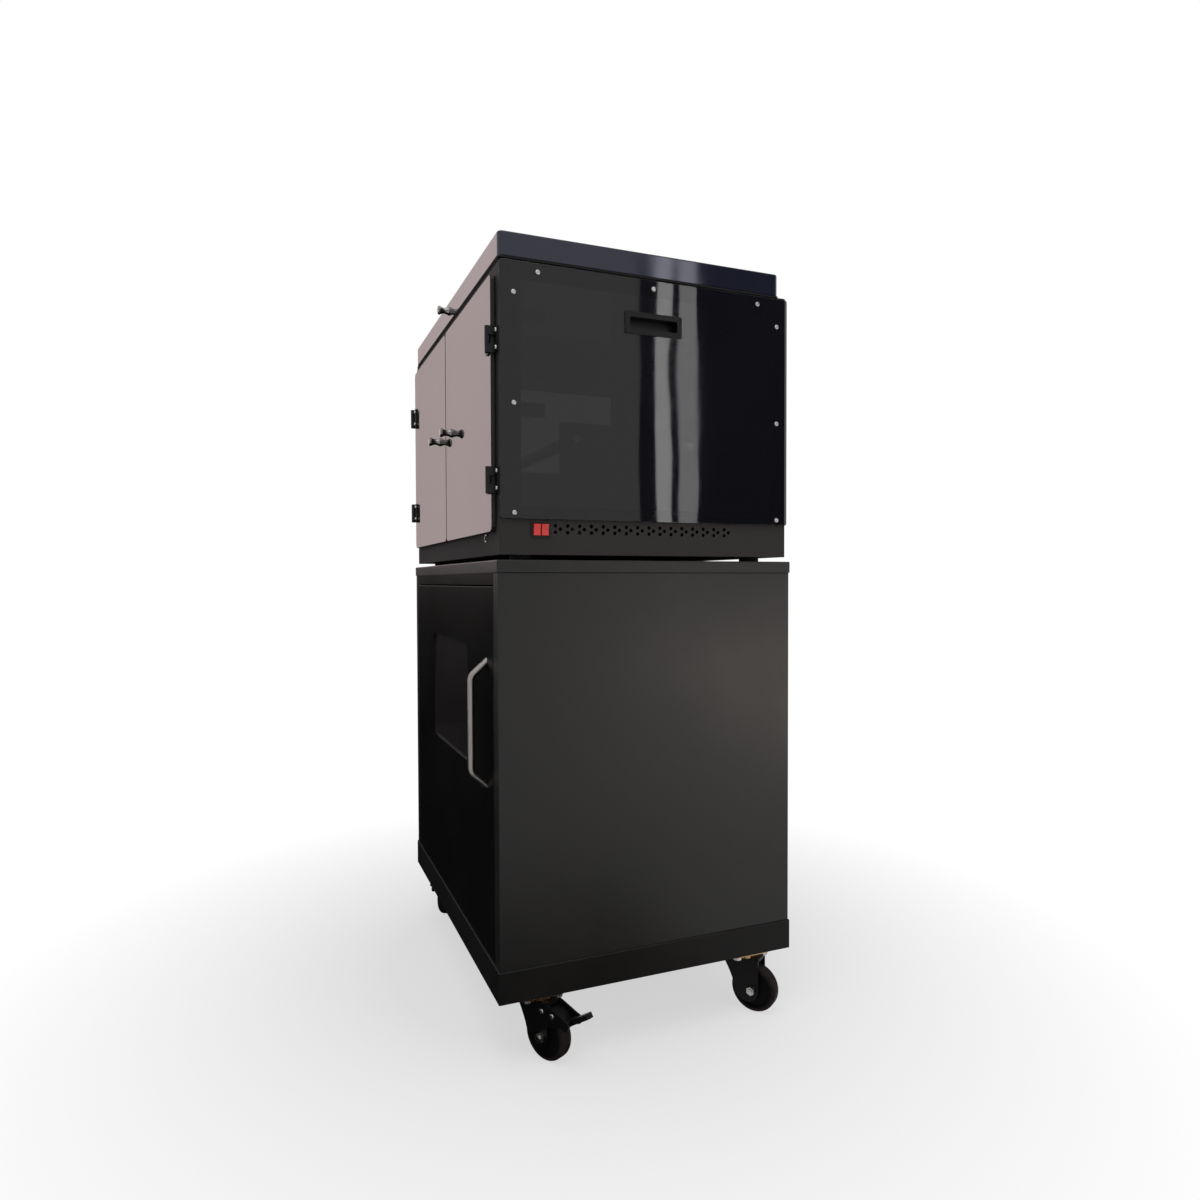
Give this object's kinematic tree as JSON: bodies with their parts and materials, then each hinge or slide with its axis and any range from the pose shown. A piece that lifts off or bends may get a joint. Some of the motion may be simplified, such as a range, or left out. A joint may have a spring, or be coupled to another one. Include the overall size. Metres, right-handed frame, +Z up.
{
  "type": "filament dryer box",
  "caption": "Floor-standing filament dryer: a heated chamber with smoked double doors, side panels and hinged lid, on a black steel storage cabinet with a window door and swivel castors.",
  "frame": {"origin": "on the floor under the middle of the cabinet and its handle", "axes": "+Z up, -Y towards the doors at the front, +X to the right as seen from the front"},
  "size_m": [0.7674, 0.5525, 1.274],
  "materials": {
    "black_powder_coat": "satin black powder coat",
    "smoked_acrylic": "polished smoked acrylic",
    "smoked_lid": "polished blue-black plastic",
    "black_plastic": "moulded, fine texture",
    "zinc_plate": "zinc plated",
    "yellow_zinc": "yellow zinc plated",
    "satin_steel": "satin brushed along the bar",
    "red_plastic": "moulded, glossy",
    "rubber": "matte",
    "wheel_tread": "smooth moulded tread",
    "aluminium": "plain",
    "circuit_board": "solder mask"
  },
  "bodies": {
    "tower": {"cabinet_base": "black_powder_coat", "cabinet_shell": "black_powder_coat", "cabinet_top": "black_powder_coat", "header_rail": "black_powder_coat", "cabinet_shelf": "black_powder_coat", "door_pivots": "black_powder_coat", "castor_plates": "yellow_zinc", "chamber_feet": "rubber", "chamber_base": "black_powder_coat", "chamber_floor": "black_powder_coat", "chamber_frame": "black_powder_coat", "right_side_panel": "smoked_acrylic", "left_side_panel": "smoked_acrylic", "side_grips": "black_plastic", "screws_and_bolts": "zinc_plate", "chamber_seals": "rubber", "frame_hinge_leaves": "black_plastic", "hinge_pins": "zinc_plate", "switch_housing": "black_plastic", "button_bezel": "zinc_plate", "power_inlet": "black_plastic", "spool_stands": "black_powder_coat", "fan_frame": "black_plastic", "heater_element": "aluminium", "humidity_sensor": "black_plastic", "power_supply": "zinc_plate", "control_board": "circuit_board"},
    "left_door": {"left_door": "smoked_acrylic", "left_door_hinge_leaves": "black_plastic", "left_door_knob": "satin_steel"},
    "right_door": {"right_door": "smoked_acrylic", "right_door_hinge_leaves": "black_plastic", "right_door_knob": "satin_steel"},
    "lid": {"lid_cover": "smoked_lid", "lid_hinge_leaves": "black_plastic", "lid_knob": "satin_steel"},
    "cabinet_door": {"cabinet_door": "black_powder_coat", "window_seal": "rubber", "door_window": "smoked_acrylic", "door_handle": "satin_steel"},
    "front_rocker": {"front_rocker": "red_plastic"},
    "rear_rocker": {"rear_rocker": "red_plastic"},
    "push_button": {"push_button": "black_plastic"},
    "fan_rotor": {"fan_rotor": "black_plastic"},
    "front_spool_rod": {"front_spool_rod": "aluminium"},
    "rear_spool_rod": {"rear_spool_rod": "aluminium"},
    "front_right_castor": {"front_right_fork": "black_powder_coat", "front_right_axle": "zinc_plate"},
    "front_right_wheel": {"front_right_wheel": "wheel_tread"},
    "rear_right_castor": {"rear_right_fork": "black_powder_coat", "rear_right_axle": "zinc_plate"},
    "rear_right_wheel": {"rear_right_wheel": "wheel_tread"},
    "front_left_castor": {"front_left_fork": "black_powder_coat", "front_left_axle": "zinc_plate"},
    "front_left_wheel": {"front_left_wheel": "wheel_tread"},
    "rear_left_castor": {"rear_left_fork": "black_powder_coat", "rear_left_axle": "zinc_plate"},
    "rear_left_wheel": {"rear_left_wheel": "wheel_tread"},
    "front_right_brake": {"front_right_brake": "black_powder_coat"},
    "front_left_brake": {"front_left_brake": "black_powder_coat"}
  },
  "joints": [
    {"name": "left_door_swing", "type": "hinge", "parent": "tower", "child": "left_door", "pos_m": [-0.33, -0.25405, 1.0185], "axis": [0, 0, -1], "range_deg": [0, 165]},
    {"name": "right_door_swing", "type": "hinge", "parent": "tower", "child": "right_door", "pos_m": [0.33, -0.25405, 1.0185], "axis": [0, 0, 1], "range_deg": [0, 165]},
    {"name": "lid_tilt", "type": "hinge", "parent": "tower", "child": "lid", "pos_m": [0, 0.26075, 1.2395], "axis": [-1, 0, 0], "range_deg": [0, 100]},
    {"name": "cabinet_door_swing", "type": "hinge", "parent": "tower", "child": "cabinet_door", "pos_m": [-0.3165, -0.24075, 0.1575], "axis": [0, 0, -1], "range_deg": [0, 110]},
    {"name": "front_rocker_tip", "type": "hinge", "parent": "tower", "child": "front_rocker", "pos_m": [0.345, -0.1827, 0.828], "axis": [0, -1, 0], "range_deg": [0, 16]},
    {"name": "rear_rocker_tip", "type": "hinge", "parent": "tower", "child": "rear_rocker", "pos_m": [0.345, -0.1698, 0.828], "axis": [0, -1, 0], "range_deg": [0, 16]},
    {"name": "button_press", "type": "slide", "parent": "tower", "child": "push_button", "axis": [0, 1, 0], "range_m": [0, 0.0012], "stiffness_N_per_m": 400},
    {"name": "fan_spin", "type": "hinge", "parent": "tower", "child": "fan_rotor", "pos_m": [0, 0.23485, 0.975], "axis": [0, 1, 0], "continuous": true},
    {"name": "front_spool_rod_spin", "type": "hinge", "parent": "tower", "child": "front_spool_rod", "pos_m": [0, -0.10375, 0.977], "axis": [1, 0, 0], "continuous": true},
    {"name": "rear_spool_rod_spin", "type": "hinge", "parent": "tower", "child": "rear_spool_rod", "pos_m": [0, 0.10225, 0.977], "axis": [1, 0, 0], "continuous": true},
    {"name": "front_right_swivel", "type": "hinge", "parent": "tower", "child": "front_right_castor", "pos_m": [0.314, -0.17475, 0.0946], "axis": [0, 0, 1], "continuous": true},
    {"name": "front_right_roll", "type": "hinge", "parent": "front_right_castor", "child": "front_right_wheel", "pos_m": [0.33519, -0.16348, 0.04], "axis": [-0.4695, 0.8829, 0], "continuous": true},
    {"name": "front_right_brake_press", "type": "hinge", "parent": "front_right_castor", "child": "front_right_brake", "pos_m": [0.37757, -0.14095, 0.072], "axis": [-0.4695, 0.8829, 0], "range_deg": [0, 18]},
    {"name": "rear_right_swivel", "type": "hinge", "parent": "tower", "child": "rear_right_castor", "pos_m": [0.314, 0.20325, 0.0946], "axis": [0, 0, 1], "continuous": true},
    {"name": "rear_right_roll", "type": "hinge", "parent": "rear_right_castor", "child": "rear_right_wheel", "pos_m": [0.33366, 0.21702, 0.04], "axis": [-0.5736, 0.8192, 0], "continuous": true},
    {"name": "front_left_swivel", "type": "hinge", "parent": "tower", "child": "front_left_castor", "pos_m": [-0.314, -0.17475, 0.0946], "axis": [0, 0, 1], "continuous": true},
    {"name": "front_left_roll", "type": "hinge", "parent": "front_left_castor", "child": "front_left_wheel", "pos_m": [-0.29434, -0.18852, 0.04], "axis": [0.5736, 0.8192, 0], "continuous": true},
    {"name": "front_left_brake_press", "type": "hinge", "parent": "front_left_castor", "child": "front_left_brake", "pos_m": [-0.25502, -0.21605, 0.072], "axis": [0.5736, 0.8192, 0], "range_deg": [0, 18]},
    {"name": "rear_left_swivel", "type": "hinge", "parent": "tower", "child": "rear_left_castor", "pos_m": [-0.314, 0.20325, 0.0946], "axis": [0, 0, 1], "continuous": true},
    {"name": "rear_left_roll", "type": "hinge", "parent": "rear_left_castor", "child": "rear_left_wheel", "pos_m": [-0.29207, 0.21301, 0.04], "axis": [-0.4067, 0.9135, 0], "continuous": true}
  ]
}
